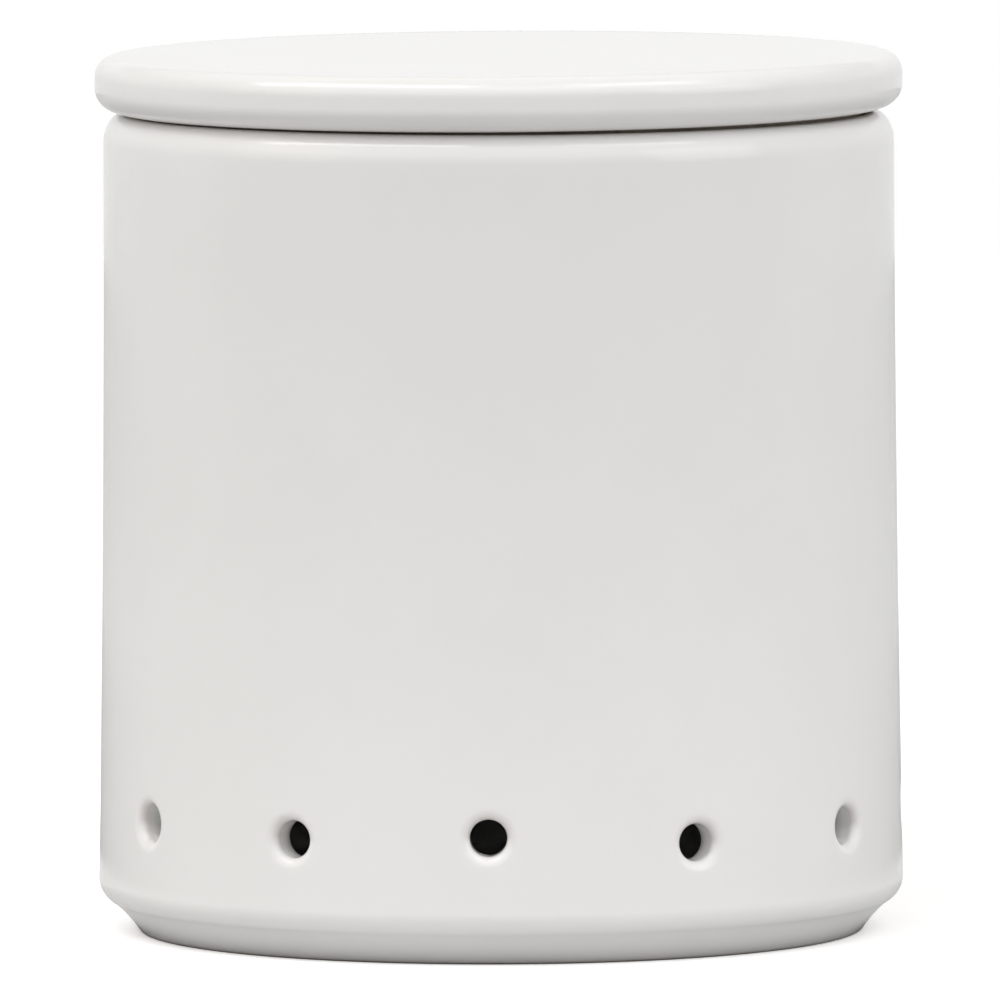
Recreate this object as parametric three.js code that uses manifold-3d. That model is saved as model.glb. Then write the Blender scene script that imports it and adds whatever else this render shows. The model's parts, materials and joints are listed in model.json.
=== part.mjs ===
// Garlic keeper: a round glazed stoneware jar with a ring of vents low in its wall, and a flat
// lid whose tapered flange seats inside the jar's mouth.
// Millimetres, +Z up. The origin is the middle of the foot ring's underside.

import * as THREE from "three";
import { mergeVertices } from "three/addons/utils/BufferGeometryUtils.js";
import Module from "manifold-3d";

// Jar: wall
const jarHeight = 116.85; // from the table to the rim's crown
const shoulderRadius = 56.3; // outside, where the wall ends and the shoulder begins
const wallThickness = 4.3;
const wallFlare = 1.07; // how much wider the wall is at the belly, just above the foot
const flarePower = 1.75; // the wall keeps nearly straight above and gathers its flare below
const bellyHeight = 7.65;
const floorThickness = 5;
const floorFillet = 5;

// Jar: rim, rounded all over: what the inner round leaves of the wall is the shoulder's width
const rimInnerRound = 1.2;
const shoulderDrop = 4.2;

// Jar: foot
const bellyRound = 3.75;
const bellyRoundDegrees = 58; // how far round the lower edge turns before the cove takes over
const footInset = 5.62; // how far the foot ring stands in from the belly
const footRingWidth = 4.6;
const footEdgeRound = 0.6;
const coveEndDegrees = 54; // slope of the cove where it meets the foot ring
const baseRecess = 2.5;
const baseFilletLimit = 1.6;

// Vents
const ventCount = 12;
const ventRadius = 2.63;
const ventHeight = 17.5;
const ventMouthWidth = 1.6; // the outer mouth's round, wider than it is deep
const ventMouthDepth = 1.3;
const ventInnerRound = 0.3;

// Lid: plate
const lidOverhang = 1.2; // past the jar's shoulder
const lidSlot = 0.35; // the dark slot that shows between the rim and the lid
const lidUnderRoundWidth = 3.85;
const lidUnderRoundRise = 3.35;
const lidEdgeBand = 1.6; // upright, between the edge's two rounds
const lidTopRoundWidth = 2.9;
const lidTopRoundDrop = 2.95;
const plateThickness = 5.5; // inside the flange, where the plate is hollowed from below

// Lid: flange, a plug that narrows downwards and seats on the rim's inner round
const flangeDepth = 8;
const flangeThickness = 4;
const flangeTaperDegrees = 10;
const flangeTipRoundLimit = 1.4;
const flangeRootFillet = 2.4;
const seatClearance = 0.3;

// Fineness of the faceted surfaces
const turnSteps = 60;
const ventSteps = 20;
const wallSteps = 4;
const roundSteps = 5;
const ventRoundSteps = 4;
const smallRoundSteps = 2;

// How far a cutter runs past the wall that it cuts
const cutOverrun = 2;

const glaze = { color: 0xe8e6e1, roughness: 0.16, metalness: 0 };

// Places that follow from the sizes above
const bellyRadius = shoulderRadius + wallFlare;
const shoulderHeight = jarHeight - shoulderDrop;
const shoulderWidth = wallThickness - rimInnerRound;
const crownRadius = shoulderRadius - shoulderWidth;
const floorHeight = baseRecess + floorThickness;
const lidRadius = shoulderRadius + lidOverhang;
const lidThickness = lidUnderRoundRise + lidEdgeBand + lidTopRoundDrop;
const lidUnderside = jarHeight + lidSlot;
const lidTop = lidUnderside + lidThickness;

const radians = THREE.MathUtils.degToRad;
const point = (r, z) => new THREE.Vector2(r, z);

// Part of an oval about (r, z), counted in degrees from the +r side towards +z.
function oval(r, z, width, height, fromDegrees, toDegrees, steps) {
  const [from, to] = [fromDegrees, toDegrees].map(radians);
  return new THREE.EllipseCurve(r, z, width, height, from, to, to < from).getPoints(steps);
}

function arc(r, z, radius, fromDegrees, toDegrees, steps) {
  return oval(r, z, radius, radius, fromDegrees, toDegrees, steps);
}

// Outside radius of the jar's wall at a height between the belly and the shoulder.
function wallRadius(z) {
  const rise = (z - bellyHeight) / (shoulderHeight - bellyHeight);
  return shoulderRadius + wallFlare * Math.max(0, 1 - rise) ** flarePower;
}

// Points up or down the wall, the ends left out, because the curves at either end supply them.
function wallPoints(fromZ, toZ, inset) {
  const points = [];
  for (let i = 1; i < wallSteps; i++) {
    const z = THREE.MathUtils.lerp(fromZ, toZ, i / wallSteps);
    points.push(point(wallRadius(z) - inset, z));
  }
  return points;
}

// The cove under the belly: a hollow curve up from the foot ring's edge to the lower edge's round,
// level with both where it meets them.
function covePoints(low, high) {
  const lowSlope = Math.tan(radians(coveEndDegrees));
  const highSlope = Math.tan(radians(90 - bellyRoundDegrees));
  const meet = (high.y - low.y - highSlope * high.x + lowSlope * low.x) / (lowSlope - highSlope);
  const control = point(meet, low.y + lowSlope * (meet - low.x));
  return new THREE.QuadraticBezierCurve(low, control, high).getPoints(roundSteps).slice(1, -1);
}

// The jar's section from the axis under the base, round the outside and back to the axis on the floor.
function jarProfile() {
  const footRadius = bellyRadius - footInset;
  const ringInner = footRadius - footRingWidth;
  const baseFillet = Math.min(baseFilletLimit, baseRecess - footEdgeRound);
  const edgeCentre = bellyRadius - bellyRound;
  const lowerEdge = arc(edgeCentre, bellyHeight, bellyRound, -bellyRoundDegrees, 0, roundSteps);
  const footEdge = arc(
    footRadius - footEdgeRound, footEdgeRound, footEdgeRound, -90, coveEndDegrees - 90, smallRoundSteps,
  );
  const insideFoot = wallRadius(floorHeight + floorFillet) - wallThickness - floorFillet;
  return [
    point(0, baseRecess),
    ...arc(ringInner - baseFillet, baseRecess - baseFillet, baseFillet, 90, 0, smallRoundSteps),
    ...arc(ringInner + footEdgeRound, footEdgeRound, footEdgeRound, 180, 270, smallRoundSteps),
    ...footEdge,
    ...covePoints(footEdge.at(-1), lowerEdge[0]),
    ...lowerEdge,
    ...wallPoints(bellyHeight, shoulderHeight, 0),
    ...oval(crownRadius, shoulderHeight, shoulderWidth, shoulderDrop, 0, 90, roundSteps),
    ...arc(crownRadius, jarHeight - rimInnerRound, rimInnerRound, 90, 180, roundSteps).slice(1),
    ...wallPoints(jarHeight - rimInnerRound, floorHeight + floorFillet, wallThickness),
    ...arc(insideFoot, floorHeight + floorFillet, floorFillet, 0, -90, roundSteps),
    point(0, floorHeight),
  ];
}

// The lid's section from the axis under the plate, round the flange and the edge to the axis on top.
function lidProfile() {
  const taper = radians(flangeTaperDegrees);
  const seatOffset = rimInnerRound + seatClearance;
  const seatRadius = crownRadius - seatOffset * Math.cos(taper);
  const seatHeight = jarHeight - rimInnerRound + seatOffset * Math.sin(taper);
  const outerRadius = (z) => seatRadius + (z - seatHeight) * Math.tan(taper);
  const innerRadius = (z) => outerRadius(z) - flangeThickness;
  const tipRound = Math.min(flangeTipRoundLimit, flangeThickness / 2);
  const tipMiddle = lidUnderside - flangeDepth + tipRound;
  const ceiling = lidTop - plateThickness;
  const filletMiddle = ceiling - flangeRootFillet;
  const underEdge = lidRadius - lidUnderRoundWidth;
  const topEdge = lidRadius - lidTopRoundWidth;
  const underMiddle = lidUnderside + lidUnderRoundRise;
  return [
    point(0, ceiling),
    ...arc(innerRadius(filletMiddle) - flangeRootFillet, filletMiddle, flangeRootFillet, 90, 0, roundSteps),
    ...arc(innerRadius(tipMiddle) + tipRound, tipMiddle, tipRound, 180, 270, smallRoundSteps),
    ...arc(outerRadius(tipMiddle) - tipRound, tipMiddle, tipRound, -90, 0, smallRoundSteps),
    point(outerRadius(lidUnderside), lidUnderside),
    ...oval(underEdge, underMiddle, lidUnderRoundWidth, lidUnderRoundRise, -90, 0, roundSteps),
    ...oval(topEdge, lidTop - lidTopRoundDrop, lidTopRoundWidth, lidTopRoundDrop, 0, 90, roundSteps),
    point(0, lidTop),
  ];
}

// A body of revolution about Z from a section that starts and ends on the axis.
function revolve(profile, steps) {
  return new THREE.LatheGeometry(profile, steps).rotateX(Math.PI / 2);
}

// One vent's cutter, lying along +X: a bore with two rounded mouths.
function ventCutter() {
  const outside = wallRadius(ventHeight);
  const inside = outside - wallThickness;
  const mouth = ventRadius + ventMouthWidth;
  const section = [
    point(0, inside - cutOverrun),
    point(ventRadius + ventInnerRound, inside - cutOverrun),
    ...arc(ventRadius + ventInnerRound, inside + ventInnerRound, ventInnerRound, 270, 180, smallRoundSteps),
    ...oval(mouth, outside - ventMouthDepth, ventMouthWidth, ventMouthDepth, 180, 90, ventRoundSteps),
    point(mouth, outside + cutOverrun),
    point(0, outside + cutOverrun),
  ];
  return revolve(section, ventSteps).rotateY(Math.PI / 2).translate(0, 0, ventHeight);
}

// Bends the cutter so that its mouths follow the wall round the jar.
function bendToWall(geometry) {
  const place = geometry.getAttribute("position");
  const radius = wallRadius(ventHeight);
  for (let i = 0; i < place.count; i++) {
    const across = place.getY(i);
    place.setX(i, place.getX(i) - radius + Math.sqrt(radius ** 2 - across ** 2));
  }
  return geometry;
}

const wasm = await Module();
wasm.setup();

function toSolid(geometry) {
  const bare = new THREE.BufferGeometry().setAttribute("position", geometry.getAttribute("position"));
  const merged = mergeVertices(bare.setIndex(geometry.index));
  const vertProperties = new Float32Array(merged.getAttribute("position").array);
  const triVerts = new Uint32Array(merged.index.array);
  return new wasm.Manifold(new wasm.Mesh({ numProp: 3, vertProperties, triVerts }));
}

function toGeometry(solid) {
  const mesh = solid.getMesh();
  const geometry = new THREE.BufferGeometry();
  geometry.setAttribute("position", new THREE.BufferAttribute(new Float32Array(mesh.vertProperties), 3));
  geometry.setIndex(new THREE.BufferAttribute(new Uint32Array(mesh.triVerts), 1));
  geometry.computeVertexNormals();
  return geometry;
}

// The jar's body with its ring of vents cut through the wall.
function jarGeometry() {
  let jar = toSolid(revolve(jarProfile(), turnSteps));
  for (let i = 0; i < ventCount; i++) {
    const turn = (i / ventCount) * 2 * Math.PI - Math.PI / 2;
    jar = jar.subtract(toSolid(bendToWall(ventCutter()).rotateZ(turn)));
  }
  return toGeometry(jar);
}

function glazedPiece(name, geometry) {
  const mesh = new THREE.Mesh(geometry, new THREE.MeshStandardMaterial(glaze));
  mesh.name = name;
  return mesh;
}

const garlicKeeper = new THREE.Group();
garlicKeeper.add(glazedPiece("jar", jarGeometry()));
garlicKeeper.add(glazedPiece("lid", revolve(lidProfile(), turnSteps)));

export default garlicKeeper;
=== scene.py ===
"""The looks of a garlic keeper: a glazed stoneware jar with a ring of vents, and its lid.

Metres, +Z up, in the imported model's own frame. The jar turns about the Z axis and stands on the
plane z = 0. Each piece is drawn as a section and spun, as it would be on a potter's wheel, and
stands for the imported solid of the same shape. Only here, five vents are cut a little off their
even places and the lid leans a little.
"""

import json
import logging
import math
from collections.abc import Callable
from dataclasses import dataclass, field
from enum import Enum
from itertools import pairwise

import bmesh
import bpy
import numpy as np
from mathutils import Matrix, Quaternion, Vector

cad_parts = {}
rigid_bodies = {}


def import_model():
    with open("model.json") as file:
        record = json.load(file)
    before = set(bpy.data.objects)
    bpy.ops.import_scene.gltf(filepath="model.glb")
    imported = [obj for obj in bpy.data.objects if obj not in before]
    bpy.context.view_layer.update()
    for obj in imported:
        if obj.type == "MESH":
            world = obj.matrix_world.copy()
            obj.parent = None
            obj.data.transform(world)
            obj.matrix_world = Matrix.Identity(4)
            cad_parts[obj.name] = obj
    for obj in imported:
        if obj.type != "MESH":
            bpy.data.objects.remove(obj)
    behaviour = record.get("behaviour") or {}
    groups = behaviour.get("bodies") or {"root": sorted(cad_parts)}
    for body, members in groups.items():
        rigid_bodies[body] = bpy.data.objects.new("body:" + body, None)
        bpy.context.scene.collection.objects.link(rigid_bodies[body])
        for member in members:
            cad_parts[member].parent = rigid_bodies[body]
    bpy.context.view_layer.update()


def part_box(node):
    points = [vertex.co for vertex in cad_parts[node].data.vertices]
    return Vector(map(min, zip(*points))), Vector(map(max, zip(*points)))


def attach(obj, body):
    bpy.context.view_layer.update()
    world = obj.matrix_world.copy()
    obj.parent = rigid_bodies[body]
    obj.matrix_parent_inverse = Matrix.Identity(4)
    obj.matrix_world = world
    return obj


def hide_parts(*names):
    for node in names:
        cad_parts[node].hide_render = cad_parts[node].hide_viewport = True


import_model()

MM = 0.001
DRAW = "glaze_draw"

Point = tuple[float, float]
Band = tuple[float, float]
Colour = tuple[float, float, float, float]
Triple = tuple[float, float, float]

log = logging.getLogger("garlic_keeper")


class Surface(Enum):
    """Which finish a face has: its number is the piece's material slot."""

    GLAZED = 0
    BARE = 1


class WallSide(Enum):
    """The two faces of the jar's wall, as shares of the way through it."""

    OUTER = 0.0
    INNER = 1.0

    def holds(self, depth_share: float) -> bool:
        """Says whether a point at that share of the way through the wall is nearer to this face."""
        half_way = (WallSide.OUTER.value + WallSide.INNER.value) / 2
        return abs(depth_share - self.value) < half_way


def oval(centre: Point, width: float, height: float, start: float, end: float, steps: int) -> list[Point]:
    """Draws part of an oval in the plane of a section.

    Args:
        centre: Radius and height of the oval's middle.
        width: Half its width, along the radius.
        height: Half its height.
        start: Where the part begins, in degrees from the outward side towards the top.
        end: Where it ends, in degrees.
        steps: How many pieces it is cut into.

    Returns:
        The points along it, with both ends.
    """
    turns = [math.radians(start + (end - start) * i / steps) for i in range(steps + 1)]
    return [(centre[0] + width * math.cos(t), centre[1] + height * math.sin(t)) for t in turns]


def arc(centre: Point, radius: float, start: float, end: float, steps: int) -> list[Point]:
    """Draws part of a circle in the plane of a section, as oval does."""
    return oval(centre, radius, radius, start, end, steps)


def between(start: float, end: float, steps: int) -> list[float]:
    """Lists the values that cut a stretch into even steps, without its ends."""
    return [start + (end - start) * i / steps for i in range(1, steps)]


def stand_off(azimuth: float, elevation: float) -> Vector:
    """Gives the direction from the pot to a lamp or camera, from its two angles in degrees."""
    turn, lift = math.radians(azimuth), math.radians(elevation)
    return Vector((math.sin(turn) * math.cos(lift), -math.cos(turn) * math.cos(lift), math.sin(lift)))


def face_pot(thing: bpy.types.Object, away: Vector, roll: float) -> None:
    """Turns a lamp or camera to look back along a direction, rolled by some degrees."""
    thing.rotation_mode = "QUATERNION"
    roll_turn = Quaternion((0, 0, 1), math.radians(roll))
    thing.rotation_quaternion = (-away).to_track_quat("-Z", "Y") @ roll_turn


class Wheel:
    """Draws a section with extruded points and spins it about the Z axis."""

    SEED = 1 * MM
    MERGE = 0.001 * MM

    @classmethod
    def draw(cls, name: str, section: list[Point], azimuth: float = 0.0) -> bpy.types.Object:
        """Draws an open section, point by point, and leaves it selected in edit mode.

        Args:
            name: The name of the new piece.
            section: Radius and height of each point.
            azimuth: The angle about Z, in radians, of the plane that it is drawn in.

        Returns:
            The new object, at the origin and unturned.
        """
        along = Vector((math.cos(azimuth), math.sin(azimuth), 0))
        places = [along * r + Vector((0, 0, z)) for r, z in section]
        bpy.ops.object.select_all(action="DESELECT")
        bpy.ops.mesh.primitive_plane_add(size=cls.SEED, location=places[0])
        bpy.ops.object.transform_apply(location=True, rotation=True, scale=True)
        piece = bpy.context.active_object
        piece.name = name
        piece.data.name = name
        bpy.ops.object.mode_set(mode="EDIT")
        bpy.ops.mesh.select_mode(type="VERT")
        bpy.ops.mesh.merge(type="CENTER")
        for here, there in pairwise(places):
            bpy.ops.mesh.extrude_vertices_move(TRANSFORM_OT_translate={"value": there - here})
        bpy.ops.mesh.select_all(action="SELECT")
        return piece

    @staticmethod
    def spin(angle: float, steps: int, copies: bool = False) -> None:
        """Spins what is selected about the Z axis, clockwise seen from above.

        Args:
            angle: How far it goes round, in radians.
            steps: In how many steps.
            copies: True to lay copies side by side instead of drawing a surface.
        """
        bpy.ops.mesh.spin(steps=steps, dupli=copies, angle=angle, center=(0, 0, 0), axis=(0, 0, 1))

    @classmethod
    def close(cls) -> None:
        """Merges the seams and poles of the piece in edit mode and turns its faces outwards."""
        bpy.ops.mesh.select_all(action="SELECT")
        bpy.ops.mesh.remove_doubles(threshold=cls.MERGE)
        bpy.ops.mesh.normals_make_consistent(inside=False)


def pick_faces(piece: bpy.types.Object, wanted: Callable[[Vector], bool]) -> None:
    """Selects the faces of a piece in edit mode by the places of their middles.

    Args:
        piece: The piece that is being edited.
        wanted: Says whether the face with that middle is selected.
    """
    bpy.ops.mesh.select_mode(type="FACE")
    bpy.ops.mesh.select_all(action="DESELECT")
    mesh = bmesh.from_edit_mesh(piece.data)
    for face in mesh.faces:
        if wanted(face.calc_center_median()):
            face.select_set(True)
    bmesh.update_edit_mesh(piece.data)


def pick_borders(piece: bpy.types.Object, wanted: Callable[[Vector], bool]) -> None:
    """Selects the open edges of a piece in edit mode by the places of their middles.

    Args:
        piece: The piece that is being edited.
        wanted: Says whether the edge with that middle is selected.
    """
    bpy.ops.mesh.select_mode(type="EDGE")
    bpy.ops.mesh.select_all(action="DESELECT")
    mesh = bmesh.from_edit_mesh(piece.data)
    for edge in mesh.edges:
        if edge.is_boundary and wanted((edge.verts[0].co + edge.verts[1].co) / 2):
            edge.select_set(True)
    bmesh.update_edit_mesh(piece.data)


def note_glaze_draw(piece: bpy.types.Object) -> None:
    """Keeps on each point how sharply the surface bends there, in turns of 1 mm radius.

    Glaze draws thinner where the value is above zero, on edges, and gathers where it is below, in hollows.
    The finish reads it for both, and also paints shade on such edges where they don't face up, and paints
    light in hollows.

    Args:
        piece: The finished piece, in object mode.
    """
    mesh = piece.data
    count = len(mesh.vertices)
    points = np.empty(count * 3, np.float32)
    mesh.vertices.foreach_get("co", points)
    normals = np.empty(count * 3, np.float32)
    mesh.vertex_normals.foreach_get("vector", normals)
    edges = np.empty(len(mesh.edges) * 2, np.int32)
    mesh.edges.foreach_get("vertices", edges)
    points, normals, edges = points.reshape(-1, 3), normals.reshape(-1, 3), edges.reshape(-1, 2)
    run = points[edges[:, 1]] - points[edges[:, 0]]
    turn = normals[edges[:, 1]] - normals[edges[:, 0]]
    bend = MM * (turn * run).sum(axis=1) / (run**2).sum(axis=1)
    convex, hollow = np.zeros(count), np.zeros(count)
    for end in (0, 1):
        np.maximum.at(convex, edges[:, end], bend)
        np.minimum.at(hollow, edges[:, end], bend)
    draw = np.clip(np.where(convex > -hollow, convex, hollow), -1, 1)
    mesh.attributes.new(DRAW, "FLOAT", "POINT").data.foreach_set("value", draw.astype(np.float32))


class NodeSheet:
    """The node tree of a material or a world, filled by short calls."""

    # The colour sockets of a Mix node, whose names other sockets of it share
    MIX_INPUTS = (6, 7)
    MIX_OUTPUT = 2

    def __init__(self, owner: str | bpy.types.World) -> None:
        """Empties the tree of that world, or of a new material of that name."""
        self.owner = bpy.data.materials.new(owner) if isinstance(owner, str) else owner
        self.owner.use_nodes = True
        self.tree = self.owner.node_tree
        self.tree.nodes.clear()

    def add(self, kind: str, inputs: dict | None = None, **settings: object) -> bpy.types.Node:
        """Adds a node.

        Args:
            kind: The node's type, without the word ShaderNode.
            inputs: For each socket's name or number, its value, or the socket that feeds it.
            settings: The node's own properties.

        Returns:
            The new node.
        """
        node = self.tree.nodes.new("ShaderNode" + kind)
        for name, value in settings.items():
            setattr(node, name, value)
        for socket, value in (inputs or {}).items():
            if isinstance(value, bpy.types.NodeSocket):
                self.tree.links.new(value, node.inputs[socket])
            else:
                node.inputs[socket].default_value = value
        return node

    def math(self, operation: str, *values: object) -> bpy.types.NodeSocket:
        """Adds a Math node on those values or sockets and returns its result."""
        return self.add("Math", dict(enumerate(values)), operation=operation).outputs[0]

    def remap(self, value: bpy.types.NodeSocket, source: Band, target: Band) -> bpy.types.NodeSocket:
        """Maps a value smoothly from one stretch to another, clamped, and returns the result."""
        stretch = {"Value": value, "From Min": source[0], "From Max": source[1],
                   "To Min": target[0], "To Max": target[1]}
        return self.add("MapRange", stretch, interpolation_type="SMOOTHSTEP").outputs["Result"]

    def noise(self, scale: float, detail: float, roughness: float = 0.5) -> bpy.types.NodeSocket:
        """Adds a noise on object coordinates, scale in cycles a metre, and returns its value."""
        inputs = {"Vector": self.place, "Scale": scale, "Detail": detail, "Roughness": roughness}
        return self.add("TexNoise", inputs).outputs["Fac"]

    def ramp(self, value: bpy.types.NodeSocket, stops: tuple[Point, ...]) -> bpy.types.NodeSocket:
        """Adds a ramp of greys, smooth between its stops.

        Args:
            value: What runs along the ramp, from 0 to 1.
            stops: The place and the grey of each stop, in order.

        Returns:
            The grey at the value.
        """
        node = self.add("ValToRGB", {"Fac": value})
        node.color_ramp.interpolation = "EASE"
        for element, (place, grey) in zip(node.color_ramp.elements, (stops[0], stops[-1])):
            element.position, element.color = place, (grey, grey, grey, 1)
        for place, grey in stops[1:-1]:
            node.color_ramp.elements.new(place).color = (grey, grey, grey, 1)
        return node.outputs["Color"]

    def blend(self, share: object, first: object, second: object) -> bpy.types.NodeSocket:
        """Mixes two colours by a share and returns the result."""
        node = self.add("Mix", {"Factor": share}, data_type="RGBA")
        for number, value in zip(self.MIX_INPUTS, (first, second)):
            if isinstance(value, bpy.types.NodeSocket):
                self.tree.links.new(value, node.inputs[number])
            else:
                node.inputs[number].default_value = value
        return node.outputs[self.MIX_OUTPUT]

    @property
    def place(self) -> bpy.types.NodeSocket:
        """The object coordinates, from one node that all patterns share."""
        for node in self.tree.nodes:
            if node.bl_idname == "ShaderNodeTexCoord":
                return node.outputs["Object"]
        return self.add("TexCoord").outputs["Object"]

    @property
    def upward(self) -> bpy.types.NodeSocket:
        """How far the surface faces up, from -1 to 1."""
        normal = self.add("TexCoord").outputs["Normal"]
        return self.add("SeparateXYZ", {0: normal}).outputs["Z"]

    def finish(self, surface: bpy.types.NodeSocket) -> bpy.types.Material:
        """Feeds the surface to the output and returns the material."""
        self.add("OutputMaterial", {"Surface": surface})
        return self.owner


@dataclass(frozen=True)
class WhiteGlaze:
    """Opaque white gloss glaze over stoneware, thinned on edges and gathered in hollows, with painted shade
    on edges that don't face up and painted light in hollows such as the vents' bores.
    """

    colour: Colour = (0.802, 0.788, 0.774, 1)
    cloud_colour: Colour = (0.790, 0.775, 0.760, 1)
    # Greyish pink: partly real glaze thinned on edges, partly painted shade on edges that face sideways or
    # down.
    thin_glaze_and_shade_colour: Colour = (0.57, 0.51, 0.505, 1)
    # Lighter than the glaze: partly real gathered glaze, partly painted light in hollows such as the vents'
    # bores.
    pooled_glaze_and_light_colour: Colour = (0.88, 0.87, 0.845, 1)
    pinhole_colour: Colour = (0.46, 0.42, 0.37, 1)
    cloud_scale: float = 38
    cloud_band: Band = (0.35, 0.7)
    thin_glaze_and_shade_share: float = 0.6
    thin_glaze_and_shade_band: Band = (0.42, 0.95)
    patch_scale: float = 228
    patch_band: Band = (0.3, 0.7)
    patch_least: float = 0.6
    # Keeps upward-facing edges white and lets the darker edge colour onto the others: painted shade.
    shade_facing_band: Band = (-0.15, 0.2)
    pooled_glaze_and_light_share: float = 0.9
    pooled_glaze_and_light_band: Band = (-0.1, -0.4)
    level_share: float = 0.15
    level_band: Band = (0.9, 0.99)
    pinhole_scale: float = 130
    pinhole_radius: float = 0.11 * MM
    pinhole_rarity: float = 0.93
    pinhole_share: float = 0.35
    gloss: float = 0.10
    dull: float = 0.16
    haze_scale: float = 152
    haze_band: Band = (0.3, 0.75)
    ior: float = 1.5
    wave_scale: float = 42
    wave_depth: float = 0.022 * MM
    peel_scale: float = 620
    peel_depth: float = 0.0009 * MM

    def material(self) -> bpy.types.Material:
        """Builds the glaze's material and returns it."""
        sheet = NodeSheet("white_glaze")
        cloud = sheet.remap(sheet.noise(self.cloud_scale, detail=3), self.cloud_band, (0, 1))
        draw = sheet.add("Attribute", attribute_name=DRAW).outputs["Fac"]
        patch = sheet.remap(sheet.noise(self.patch_scale, detail=2), self.patch_band, (self.patch_least, 1))
        # Painted shade: the darker edge colour goes only where an edge faces sideways or down, beside real
        # thinning of the glaze on edges.
        shade_facing = sheet.remap(sheet.upward, self.shade_facing_band, (1, 0))
        thin_glaze_and_shade = sheet.math("MULTIPLY", sheet.remap(draw, self.thin_glaze_and_shade_band, (0, self.thin_glaze_and_shade_share)),
                          sheet.math("MULTIPLY", patch, shade_facing))
        # Painted light: hollows, the vents' bores most, are made lighter, beside real gathered glaze there.
        pooled_glaze_and_light = sheet.remap(draw, self.pooled_glaze_and_light_band, (0, self.pooled_glaze_and_light_share))
        colour = sheet.blend(cloud, self.colour, self.cloud_colour)
        colour = sheet.blend(thin_glaze_and_shade, colour, self.thin_glaze_and_shade_colour)
        colour = sheet.blend(pooled_glaze_and_light, colour, self.pooled_glaze_and_light_colour)
        pinholes = self.pinholes(sheet)
        share = sheet.math("MULTIPLY", pinholes, self.pinhole_share)
        colour = sheet.blend(share, colour, self.pinhole_colour)
        level = sheet.remap(sheet.upward, self.level_band, (1, self.level_share))
        haze = sheet.remap(sheet.noise(self.haze_scale, detail=4), self.haze_band, (0, 1))
        dulled = sheet.remap(sheet.math("MULTIPLY", level, haze), (0, 1), (self.gloss, self.dull))
        shader = {"Base Color": colour, "Roughness": dulled, "IOR": self.ior,
                  "Normal": self.relief(sheet, pinholes, level)}
        return sheet.finish(sheet.add("BsdfPrincipled", shader).outputs["BSDF"])

    def pinholes(self, sheet: NodeSheet) -> bpy.types.NodeSocket:
        """Scatters a few pinholes in the glaze.

        Args:
            sheet: The node tree that it is built in.

        Returns:
            A mask, 1 in the middle of a pinhole.
        """
        cells = sheet.add("TexVoronoi", {"Vector": sheet.place, "Scale": self.pinhole_scale})
        reach = self.pinhole_radius * self.pinhole_scale
        dot = sheet.remap(cells.outputs["Distance"], (reach, reach / 2), (0, 1))
        lot = sheet.add("SeparateColor", {"Color": cells.outputs["Color"]}).outputs["Red"]
        return sheet.math("MULTIPLY", dot, sheet.math("GREATER_THAN", lot, self.pinhole_rarity))

    def relief(self, sheet: NodeSheet, pinholes: bpy.types.NodeSocket,
               level: bpy.types.NodeSocket) -> bpy.types.NodeSocket:
        """Adds the glaze's slow waves, its fine peel and the pinholes' dents.

        Args:
            sheet: The node tree that it is built in.
            pinholes: The pinholes' mask.
            level: How much of the relief is left, 1 except where the glaze lay level.

        Returns:
            The bumped normal.
        """
        waves = sheet.add("Bump", {"Height": sheet.noise(self.wave_scale, detail=1), "Strength": level,
                                   "Distance": self.wave_depth})
        peel = sheet.math("SUBTRACT", sheet.noise(self.peel_scale, detail=1), pinholes)
        return sheet.add("Bump", {"Height": peel, "Strength": level, "Distance": self.peel_depth,
                                  "Normal": waves.outputs["Normal"]}).outputs["Normal"]


@dataclass(frozen=True)
class BareClay:
    """Fired stoneware body where the glaze is wiped off: matt, warm and finely grained."""

    colour: Colour = (0.50, 0.44, 0.37, 1)
    dark_colour: Colour = (0.37, 0.315, 0.255, 1)
    speck_colour: Colour = (0.16, 0.12, 0.09, 1)
    roughness: float = 0.82
    mottle_scale: float = 260
    mottle_band: Band = (0.3, 0.7)
    grain_scale: float = 1900
    grain_depth: float = 0.03 * MM
    speck_share: float = 0.5
    speck_band: Band = (0.66, 0.74)

    def material(self) -> bpy.types.Material:
        """Builds the clay's material and returns it."""
        sheet = NodeSheet("bare_clay")
        mottle = sheet.noise(self.mottle_scale, detail=5, roughness=0.65)
        mottle = sheet.remap(mottle, self.mottle_band, (0, 1))
        grain = sheet.noise(self.grain_scale, detail=3, roughness=0.7)
        specks = sheet.remap(grain, self.speck_band, (0, self.speck_share))
        colour = sheet.blend(mottle, self.colour, self.dark_colour)
        colour = sheet.blend(specks, colour, self.speck_colour)
        normal = sheet.add("Bump", {"Height": grain, "Strength": 1, "Distance": self.grain_depth})
        shader = {"Base Color": colour, "Roughness": self.roughness, "Normal": normal.outputs["Normal"]}
        return sheet.finish(sheet.add("BsdfPrincipled", shader).outputs["BSDF"])


@dataclass
class Pot:
    """What the two fired pieces share: how finely they turn, and how they are dressed."""

    columns: int = 288

    @property
    def column(self) -> float:
        """The angle that one column of faces takes up."""
        return 2 * math.pi / self.columns

    def dress(self, piece: bpy.types.Object, is_bare: Callable[[float, float], bool]) -> None:
        """Gives a piece its glaze, leaves the clay bare where it is wiped, and smooths it.

        Args:
            piece: The piece, closed, in edit mode.
            is_bare: Says whether the clay is bare at that radius and height.
        """
        for surface in Surface:
            piece.data.materials.append(finishes[surface])
        pick_faces(piece, lambda middle: is_bare(math.hypot(middle.x, middle.y), middle.z))
        piece.active_material_index = Surface.BARE.value
        bpy.ops.object.material_slot_assign()
        bpy.ops.object.mode_set(mode="OBJECT")
        bpy.ops.object.shade_smooth()
        note_glaze_draw(piece)


@dataclass(frozen=True)
class Drift:
    """How far one vent was cut off its even place, by hand."""

    place: int
    across: float
    up: float


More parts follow.
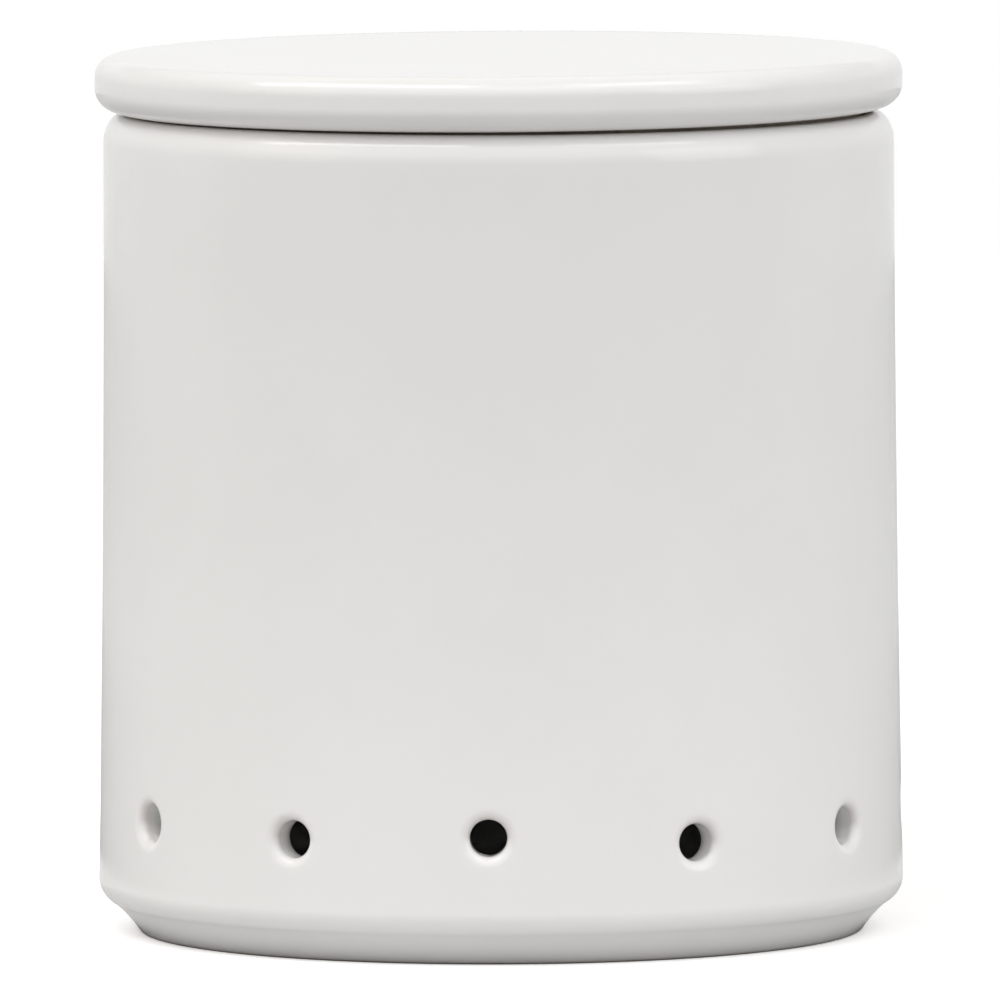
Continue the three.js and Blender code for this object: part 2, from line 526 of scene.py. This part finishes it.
@dataclass
class Vent:
    """One air hole through the jar's wall: a bore with rounded mouths."""

    height: float = 17.5 * MM
    radius: float = 2.63 * MM
    mouth_width: float = 1.6 * MM
    mouth_depth: float = 1.3 * MM
    inner_round: float = 0.3 * MM
    half_cells: int = 5
    outer_row: float = 1.2 * MM
    inner_row: float = 0.96 * MM
    mouth_steps: int = 10
    inner_steps: int = 4
    bore_steps: int = 4
    skirt: float = 0.8 * MM
    skirt_steps: int = 2
    bridge_cuts: int = 1

    def rows(self, side: WallSide) -> list[float]:
        """Lists the heights of the rows of faces that the vent is cut into, on a face of the wall."""
        row = self.outer_row if side is WallSide.OUTER else self.inner_row
        return [self.height + i * row for i in range(-self.half_cells, self.half_cells + 1)]

    def loops(self, wall: float) -> list[Point]:
        """Lists the vent's rings, from the outside of the wall to the inside.

        Args:
            wall: The wall's thickness.

        Returns:
            Each ring's radius and its depth in the wall.
        """
        bore_end = wall - self.inner_round
        skirt = [self.skirt * i / self.skirt_steps for i in range(1, self.skirt_steps + 1)]
        return [
            *[(self.mouth + width, 0) for width in reversed(skirt)],
            *oval((self.mouth, self.mouth_depth), self.mouth_width, self.mouth_depth,
                  270, 180, self.mouth_steps),
            *[(self.radius, depth) for depth in between(self.mouth_depth, bore_end, self.bore_steps)],
            *arc((self.radius + self.inner_round, bore_end), self.inner_round, 180, 90, self.inner_steps),
            *[(self.radius + self.inner_round + width, wall) for width in skirt],
        ]

    @property
    def mouth(self) -> float:
        """The outer mouth's radius in the wall's face."""
        return self.radius + self.mouth_width

    @property
    def border(self) -> int:
        """How many edges go round the square block of faces that the vent is cut into."""
        sides = 4
        return sides * 2 * self.half_cells


@dataclass
class Jar(Pot):
    """The jar: a flared wall on a recessed foot ring, a rounded rim, and twelve vents."""

    height: float = 116.85 * MM
    belly_radius: float = 57.37 * MM
    wall: float = 4.3 * MM
    flare: float = 1.07 * MM
    flare_power: float = 1.75
    belly_height: float = 7.65 * MM
    belly_round: float = 3.75 * MM
    belly_degrees: float = 58
    floor_thickness: float = 5 * MM
    floor_fillet: float = 5 * MM
    shoulder_drop: float = 4.2 * MM
    rim_round: float = 1.2 * MM
    foot_inset: float = 5.62 * MM
    foot_width: float = 4.6 * MM
    foot_round: float = 0.6 * MM
    cove_degrees: float = 54
    recess: float = 2.5 * MM
    recess_fillet: float = 1.6 * MM
    vent: Vent = field(default_factory=Vent)
    vent_count: int = 12
    drift_reach: float = 5.5 * MM
    drifts: tuple[Drift, ...] = (
        Drift(0, across=-0.7 * MM, up=0.75 * MM),
        Drift(1, across=0.2 * MM, up=-0.57 * MM),
        Drift(2, across=0.3 * MM, up=-0.2 * MM),
        Drift(10, across=0.3 * MM, up=0.35 * MM),
        Drift(11, across=-0.1 * MM, up=-0.05 * MM),
    )
    wall_row: float = 2.5 * MM
    lower_rows: int = 4
    disc_rings: int = 6
    round_steps: int = 12
    small_steps: int = 6

    @property
    def shoulder_height(self) -> float:
        """The height where the wall ends and the shoulder begins."""
        return self.height - self.shoulder_drop

    @property
    def crown_radius(self) -> float:
        """The radius of the rim's highest line."""
        return self.belly_radius - self.flare - self.wall + self.rim_round

    @property
    def foot_radius(self) -> float:
        """The outer radius of the foot ring."""
        return self.belly_radius - self.foot_inset

    def wall_radius(self, z: float) -> float:
        """Gives the outside radius of the wall at a height."""
        rise = (z - self.belly_height) / (self.shoulder_height - self.belly_height)
        return self.belly_radius - self.flare * (1 - max(0.0, 1 - rise) ** self.flare_power)

    def cove(self, low: Point, high: Point) -> list[Point]:
        """Draws the hollow between the foot ring and the belly, level with both.

        Args:
            low: Where the foot ring's edge ends.
            high: Where the belly's round begins.

        Returns:
            The points between those two.
        """
        low_slope = math.tan(math.radians(self.cove_degrees))
        high_slope = math.tan(math.radians(90 - self.belly_degrees))
        rise = high[1] - low[1] - high_slope * high[0] + low_slope * low[0]
        meet = rise / (low_slope - high_slope)
        control = (meet, low[1] + low_slope * (meet - low[0]))
        shares = between(0, 1, self.round_steps)
        return [
            tuple(a * (1 - t) ** 2 + 2 * b * t * (1 - t) + c * t**2 for a, b, c in zip(low, control, high))
            for t in shares
        ]

    def outside(self) -> list[Point]:
        """Draws the outside of the section, from the foot ring's edge to the rim's crown."""
        foot_edge = arc((self.foot_radius - self.foot_round, self.foot_round), self.foot_round,
                        -90, self.cove_degrees - 90, self.small_steps)
        belly = arc((self.belly_radius - self.belly_round, self.belly_height), self.belly_round,
                    -self.belly_degrees, 0, self.round_steps)
        rows = self.vent.rows(WallSide.OUTER)
        upper_rows = round((self.shoulder_height - rows[-1]) / self.wall_row)
        upper = between(rows[-1], self.shoulder_height, upper_rows)
        heights = [*between(self.belly_height, rows[0], self.lower_rows), *rows, *upper]
        shoulder = oval((self.crown_radius, self.shoulder_height), self.wall - self.rim_round,
                        self.shoulder_drop, 0, 90, self.round_steps)
        return [*foot_edge, *self.cove(foot_edge[-1], belly[0]), *belly,
                *[(self.wall_radius(z), z) for z in heights], *shoulder]

    def inside(self) -> list[Point]:
        """Draws the inside of the section, from the rim's crown to the middle of the floor."""
        floor = self.recess + self.floor_thickness
        rim_middle, fillet_middle = self.height - self.rim_round, floor + self.floor_fillet
        rim = arc((self.crown_radius, rim_middle), self.rim_round, 90, 180, self.small_steps)
        rows = self.vent.rows(WallSide.INNER)[::-1]
        upper = between(rim_middle, rows[0], round((rim_middle - rows[0]) / self.wall_row))
        corner = self.wall_radius(fillet_middle) - self.wall - self.floor_fillet
        fillet = arc((corner, fillet_middle), self.floor_fillet, 0, -90, self.round_steps)
        return [*rim[1:], *[(self.wall_radius(z) - self.wall, z) for z in [*upper, *rows]], *fillet,
                *[(r, floor) for r in between(corner, 0, self.disc_rings)], (0, floor)]

    def underside(self) -> list[Point]:
        """Draws the underside of the section, from the middle of the base to the foot ring."""
        ring = self.foot_radius - self.foot_width
        corner = (ring - self.recess_fillet, self.recess - self.recess_fillet)
        fillet = arc(corner, self.recess_fillet, 90, 0, self.small_steps)
        edge = arc((ring + self.foot_round, self.foot_round), self.foot_round, 180, 270, self.small_steps)
        return [(0, self.recess), *[(r, self.recess) for r in between(0, corner[0], self.disc_rings)],
                *fillet, *edge]

    def build(self) -> bpy.types.Object:
        """Builds one twelfth of the jar with its vent, copies it round and dresses it.

        Returns:
            The finished jar.
        """
        slice_angle = 2 * math.pi / self.vent_count
        section = [*self.underside(), *self.outside(), *self.inside()]
        jar = Wheel.draw("glazed_jar", section, azimuth=slice_angle / 2)
        Wheel.spin(slice_angle, self.columns // self.vent_count)
        self.open_wall(jar)
        self.line_vent(jar)
        bpy.ops.mesh.select_all(action="SELECT")
        Wheel.spin(slice_angle * (self.vent_count - 1), self.vent_count - 1, copies=True)
        Wheel.close()
        for drift in self.drifts:
            self.shift_vent(jar, drift)
        self.dress(jar, self.is_bare)
        return jar

    def is_bare(self, radius: float, height: float) -> bool:
        """Says whether the clay is bare: under the foot ring, and where the lid seats."""
        under_foot = height < self.foot_round / 2
        seat = height > self.height - self.rim_round and radius < self.crown_radius
        return under_foot or seat

    def over_vent(self, middle: Vector, side: WallSide) -> bool:
        """Says whether a point lies on that face of the wall, in the block around the vent."""
        rows = self.vent.rows(side)
        near = abs(math.atan2(middle.y, middle.x)) < self.vent.half_cells * self.column
        level = rows[0] < middle.z < rows[-1]
        return near and level and side.holds(self.depth_share(middle))

    def depth_share(self, point: Vector) -> float:
        """Gives a point's share of the way through the wall, from outside to inside."""
        return (self.wall_radius(point.z) - math.hypot(point.x, point.y)) / self.wall

    def open_wall(self, jar: bpy.types.Object) -> None:
        """Takes out the faces around the vent, on both faces of the wall."""
        for side in WallSide:
            pick_faces(jar, lambda middle: self.over_vent(middle, side))
            bpy.ops.mesh.delete(type="FACE")

    def line_vent(self, jar: bpy.types.Object) -> None:
        """Makes the vent's rounded mouths and bore, and bridges them to the wall.

        Args:
            jar: The slice of the jar, opened, in edit mode.
        """
        vent, face = self.vent, self.wall_radius(self.vent.height)
        loops = vent.loops(self.wall)
        bpy.ops.mesh.select_mode(type="EDGE")
        bpy.ops.mesh.select_all(action="DESELECT")
        bpy.ops.mesh.primitive_circle_add(vertices=vent.border, radius=loops[0][0],
                                          location=(face, 0, vent.height), rotation=(0, math.pi / 2, 0))
        for (radius, depth), (next_radius, next_depth) in pairwise(loops):
            bpy.ops.mesh.extrude_edges_move(TRANSFORM_OT_translate={"value": (depth - next_depth, 0, 0)})
            scale = next_radius / radius
            bpy.ops.transform.resize(value=(1, scale, scale),
                                     center_override=(face - next_depth, 0, vent.height))
        bpy.ops.mesh.select_linked()
        self.bend_to_wall(jar, lambda x: (face - x) / self.wall)
        for side in WallSide:
            pick_borders(jar, lambda middle: self.borders_vent(middle, side))
            bpy.ops.mesh.bridge_edge_loops(number_cuts=vent.bridge_cuts, interpolation="LINEAR")
            self.bend_to_wall(jar, lambda x: side.value)

    def borders_vent(self, middle: Vector, side: WallSide) -> bool:
        """Says whether an open edge belongs to the vent or to the opening around it."""
        reach = self.vent.half_cells * self.column + self.column / 2
        near = abs(math.atan2(middle.y, middle.x)) < reach
        return near and side.holds(self.depth_share(middle))

    def shift_vent(self, jar: bpy.types.Object, drift: Drift) -> None:
        """Moves one vent along the wall, and eases the wall around it after it.

        Args:
            jar: The whole jar, in edit mode.
            drift: Which vent it is, and how far it goes.
        """
        vent = self.vent
        turn = drift.place * 2 * math.pi / self.vent_count - math.pi / 2
        out = Vector((math.cos(turn), math.sin(turn), 0))
        across = Vector((-math.sin(turn), math.cos(turn), 0))
        reach = vent.mouth + vent.skirt / 2
        bpy.ops.mesh.select_mode(type="VERT")
        bpy.ops.mesh.select_all(action="DESELECT")
        mesh = bmesh.from_edit_mesh(jar.data)
        for vertex in mesh.verts:
            off = math.hypot(vertex.co.dot(across), vertex.co.z - vent.height)
            if off < reach and vertex.co.dot(out) > self.foot_radius - self.wall:
                vertex.select_set(True)
        bmesh.update_edit_mesh(jar.data)
        bpy.ops.transform.translate(
            value=across * drift.across + Vector((0, 0, drift.up)), use_proportional_edit=True,
            proportional_edit_falloff="SMOOTH", proportional_size=self.drift_reach)

    def bend_to_wall(self, jar: bpy.types.Object, depth_share: Callable[[float], float]) -> None:
        """Bends the selected points to the wall's curve, round the jar and up its flare.

        Args:
            jar: The jar's slice in edit mode.
            depth_share: Gives, from a point's x, its share of the way through the wall.
        """
        mesh = bmesh.from_edit_mesh(jar.data)
        for vertex in (point for point in mesh.verts if point.select):
            share = min(max(depth_share(vertex.co.x), 0), 1)
            outer = self.wall_radius(vertex.co.z)
            faces = [math.sqrt(radius**2 - vertex.co.y**2) for radius in (outer, outer - self.wall)]
            vertex.co.x = faces[0] * (1 - share) + faces[1] * share
        bmesh.update_edit_mesh(jar.data)


@dataclass
class Lid(Pot):
    """The lid: a flat plate with a full rounded edge, and the tapered flange that seats it."""

    radius: float = 57.5 * MM
    top: float = 125.1 * MM
    tip: float = 109.2 * MM
    slot: float = 0.35 * MM
    under_width: float = 3.85 * MM
    under_rise: float = 3.35 * MM
    top_width: float = 2.9 * MM
    top_drop: float = 2.95 * MM
    plate: float = 5.5 * MM
    flange: float = 4 * MM
    taper_degrees: float = 10
    tip_round: float = 1.4 * MM
    root_fillet: float = 2.4 * MM
    corner_fillet: float = 0.35 * MM
    seat_clearance: float = 0.3 * MM
    glaze_gap: float = 0.4 * MM
    lean_degrees: float = 0.2
    disc_rings: int = 12
    flange_rows: int = 4
    round_steps: int = 12
    small_steps: int = 6

    def section(self, jar: Jar) -> list[Point]:
        """Draws the section, from the middle of the ceiling round to the middle of the top.

        Args:
            jar: The jar that the lid seats in.

        Returns:
            Radius and height of each point.
        """
        taper = math.radians(self.taper_degrees)
        offset = jar.rim_round + self.seat_clearance
        seat = (jar.crown_radius - offset * math.cos(taper),
                jar.height - jar.rim_round + offset * math.sin(taper))
        underside, ceiling = jar.height + self.slot, self.top - self.plate

        def outer(z: float) -> float:
            """Gives the flange's outer radius at a height."""
            return seat[0] + (z - seat[1]) * math.tan(taper)

        tip, root = self.tip + self.tip_round, ceiling - self.root_fillet
        inner = [(outer(z) - self.flange, z) for z in between(root, tip, self.flange_rows)]
        face = [(outer(z), z) for z in between(tip, underside - self.corner_fillet, self.flange_rows)]
        corner_z = underside - self.corner_fillet
        corner = arc((outer(corner_z) + self.corner_fillet, corner_z), self.corner_fillet,
                     180, 90, self.small_steps)
        ceiling_edge = outer(root) - self.flange - self.root_fillet
        under_edge, top_edge = self.radius - self.under_width, self.radius - self.top_width
        return [
            (0, ceiling),
            *[(r, ceiling) for r in between(0, ceiling_edge, self.disc_rings)],
            *arc((ceiling_edge, root), self.root_fillet, 90, 0, self.small_steps),
            *inner,
            *arc((outer(tip) - self.flange + self.tip_round, tip), self.tip_round,
                 180, 270, self.small_steps),
            *arc((outer(tip) - self.tip_round, tip), self.tip_round, -90, 0, self.small_steps),
            *face,
            *corner,
            *oval((under_edge, underside + self.under_rise), self.under_width, self.under_rise,
                  -90, 0, self.round_steps),
            *oval((top_edge, self.top - self.top_drop), self.top_width, self.top_drop,
                  0, 90, self.round_steps),
            *[(r, self.top) for r in between(top_edge, 0, self.disc_rings)],
            (0, self.top),
        ]

    def build(self, jar: Jar) -> bpy.types.Object:
        """Builds and dresses the lid.

        Args:
            jar: The jar that the lid seats in.

        Returns:
            The finished lid.
        """
        lid = Wheel.draw("glazed_lid", self.section(jar))
        Wheel.spin(2 * math.pi, self.columns)
        Wheel.close()
        self.dress(lid, lambda radius, height: self.is_bare(jar, radius, height))
        self.lean(jar)
        return lid

    def lean(self, jar: Jar) -> None:
        """Leans the lid a hair to one side, as it lies in its loose seat."""
        bpy.ops.object.mode_set(mode="EDIT")
        bpy.ops.mesh.select_all(action="SELECT")
        bpy.ops.transform.rotate(value=math.radians(self.lean_degrees), orient_axis="Y",
                                 center_override=(0, 0, jar.height + self.slot))
        bpy.ops.object.mode_set(mode="OBJECT")

    def is_bare(self, jar: Jar, radius: float, height: float) -> bool:
        """Says whether the clay is bare: on the flange's outside and tip, and by it under the plate."""
        glaze_line = self.radius - self.under_width - self.glaze_gap
        inside_tip = glaze_line - self.flange - self.tip_round
        below = height < jar.height + self.slot + Wheel.MERGE
        on_tip = height < self.tip + self.tip_round and radius > inside_tip
        return below and radius < glaze_line and (on_tip or radius > jar.crown_radius - self.flange)


@dataclass(frozen=True)
class Softbox:
    """One soft lamp, aimed at the pot."""

    name: str
    azimuth: float
    elevation: float
    distance: float
    size: Point
    watts: float
    colour: Triple
    roll: float = 0
    aim: Triple = (0, 0, 62 * MM)

    def place(self) -> bpy.types.Object:
        """Hangs the lamp and returns it. The camera doesn't see it."""
        away = stand_off(self.azimuth, self.elevation)
        bpy.ops.object.light_add(type="AREA", location=Vector(self.aim) + away * self.distance)
        lamp = bpy.context.active_object
        lamp.name = self.name
        face_pot(lamp, away, self.roll)
        lamp.data.shape = "RECTANGLE"
        lamp.data.size, lamp.data.size_y = self.size
        lamp.data.energy = self.watts
        lamp.data.color = self.colour
        lamp.visible_camera = False
        return lamp


@dataclass(frozen=True)
class Studio:
    """A pale table in soft light: its floor, its lamps and the white around it.

    The camera sees a plain floor and a white world. Other rays see the floor's tones, by distance
    from the pot in metres, and a sky in two halves, by height.
    """

    floor_radius: float = 1.4
    floor_colour: Colour = (0.86, 0.845, 0.835, 1)
    floor_lift: float = 0.34
    floor_sides: int = 128
    floor_tones: tuple[Point, ...] = (
        (0.055, 0.72), (0.075, 0.65), (0.09, 0.86), (0.115, 0.83),
        (0.15, 0.39), (0.24, 0.41), (0.42, 0.48), (0.6, 0.64))
    # Painted shade: the floor's bounced light is darkened in a ring just round the foot, so the foot's
    # lowest edge gets darker.
    contact_shade_reach: Band = (51.7 * MM, 54 * MM)
    contact_shade_tone: float = 0.2
    sky_peak: float = 1.75
    front_sky: tuple[Point, ...] = (
        (0.0, 0.19), (0.25, 0.26), (0.38, 0.63), (0.58, 0.66), (0.72, 1.0), (0.86, 0.98), (0.95, 0.03))
    sky_turn: Band = (-0.25, 0.25)
    back_sky: tuple[Point, ...] = ((0.0, 0.50), (0.25, 0.52), (0.40, 0.35), (0.85, 0.35), (0.95, 0.02))
    softboxes: tuple[Softbox, ...] = (
        Softbox("key_softbox", azimuth=-60, elevation=60, distance=1.6, size=(1.4, 0.42),
                watts=7, colour=(1, 0.985, 0.96), roll=28),
        Softbox("fill_softbox", azimuth=60, elevation=60, distance=1.6, size=(0.8, 0.42),
                watts=2, colour=(0.95, 0.98, 1), roll=-28),
        Softbox("left_softbox", azimuth=-65, elevation=20, distance=1.6, size=(1, 0.9),
                watts=1.4, colour=(1, 0.975, 0.88)),
        Softbox("right_softbox", azimuth=65, elevation=20, distance=1.6, size=(1, 0.9),
                watts=3.3, colour=(0.92, 0.965, 1)),
    )

    def build(self) -> None:
        """Lays the floor, hangs the lamps and lights the world."""
        self.lay_floor()
        for softbox in self.softboxes:
            softbox.place()
            log.info("lamp: %s", softbox.name)
        self.light_world()

    def lay_floor(self) -> None:
        """Lays a pale floor with its shadow, whose bounced light alone goes by the floor's tones."""
        bpy.ops.object.select_all(action="DESELECT")
        bpy.ops.mesh.primitive_circle_add(vertices=self.floor_sides, radius=self.floor_radius,
                                          fill_type="NGON")
        floor = bpy.context.active_object
        floor.name = "floor"
        sheet = NodeSheet("pale_floor")
        shown = sheet.add("BsdfDiffuse", {"Color": self.floor_colour})
        glow = sheet.add("Emission", {"Color": (1, 1, 1, 1), "Strength": self.floor_lift})
        lifted = sheet.add("AddShader", {0: shown.outputs[0], 1: glow.outputs[0]})
        away = sheet.add("VectorMath", {0: sheet.place}, operation="LENGTH").outputs["Value"]
        # Painted shade: darkens the bounced light in a ring just round the foot.
        contact_shade = sheet.remap(away, self.contact_shade_reach, (self.contact_shade_tone, 1))
        tone = sheet.math("MULTIPLY", sheet.ramp(away, self.floor_tones), contact_shade)
        bounce = sheet.add("BsdfDiffuse", {"Color": tone})
        seen = sheet.add("LightPath").outputs["Is Camera Ray"]
        mixed = sheet.add("MixShader", {0: seen, 1: bounce.outputs[0], 2: lifted.outputs[0]})
        floor.data.materials.append(sheet.finish(mixed.outputs[0]))

    def light_world(self) -> None:
        """Gives the world its sky, brightest high in front, and white where the camera sees it."""
        world = bpy.data.worlds.new("studio")
        bpy.context.scene.world = world
        sheet = NodeSheet(world)
        way = sheet.add("SeparateXYZ", {0: sheet.add("TexCoord").outputs["Generated"]}).outputs
        behind = sheet.remap(way["Y"], self.sky_turn, (0, 1))
        tone = sheet.blend(behind, sheet.ramp(way["Z"], self.front_sky), sheet.ramp(way["Z"], self.back_sky))
        sky = sheet.add("Background", {"Color": tone, "Strength": self.sky_peak})
        white = sheet.add("Background", {"Color": (1, 1, 1, 1), "Strength": 1})
        seen = sheet.add("LightPath").outputs["Is Camera Ray"]
        mixed = sheet.add("MixShader", {0: seen, 1: sky.outputs[0], 2: white.outputs[0]})
        sheet.add("OutputWorld", {"Surface": mixed.outputs[0]})


@dataclass(frozen=True)
class Camera:
    """The camera where it stood for the photograph: far off, a little above the jar's middle."""

    distance: float = 3.046
    azimuth: float = 1.1
    elevation: float = 4.61
    roll: float = -0.195
    aim: Triple = (0, 0, 61.3 * MM)
    lens: float = 769.1
    sensor: float = 36
    near: float = 0.1
    far: float = 30

    def place(self) -> bpy.types.Object:
        """Sets up the camera and returns it."""
        away = stand_off(self.azimuth, self.elevation)
        bpy.ops.object.camera_add(location=Vector(self.aim) + away * self.distance)
        camera = bpy.context.active_object
        camera.name = "photo_camera"
        face_pot(camera, away, self.roll)
        camera.data.lens = self.lens
        camera.data.sensor_width = self.sensor
        camera.data.clip_start, camera.data.clip_end = self.near, self.far
        bpy.context.scene.camera = camera
        return camera


finishes: dict[Surface, bpy.types.Material] = {}


def main() -> None:
    """Builds the garlic keeper and the studio around it, in order."""
    logging.basicConfig(level=logging.INFO, format="%(message)s")
    Camera().place()
    Studio().build()
    finishes[Surface.GLAZED] = WhiteGlaze().material()
    finishes[Surface.BARE] = BareClay().material()

    jar_box, lid_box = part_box("jar"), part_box("lid")
    jar = Jar(height=jar_box[1].z, belly_radius=jar_box[1].x)
    lid = Lid(radius=lid_box[1].x, top=lid_box[1].z, tip=lid_box[0].z)
    for piece, body in ((jar.build(), "jar"), (lid.build(jar), "lid")):
        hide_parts(body)
        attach(piece, body)
        log.info("piece: %s, %d faces", piece.name, len(piece.data.polygons))

    bpy.context.scene.view_settings.view_transform = "Standard"


if __name__ == "__main__":
    main()
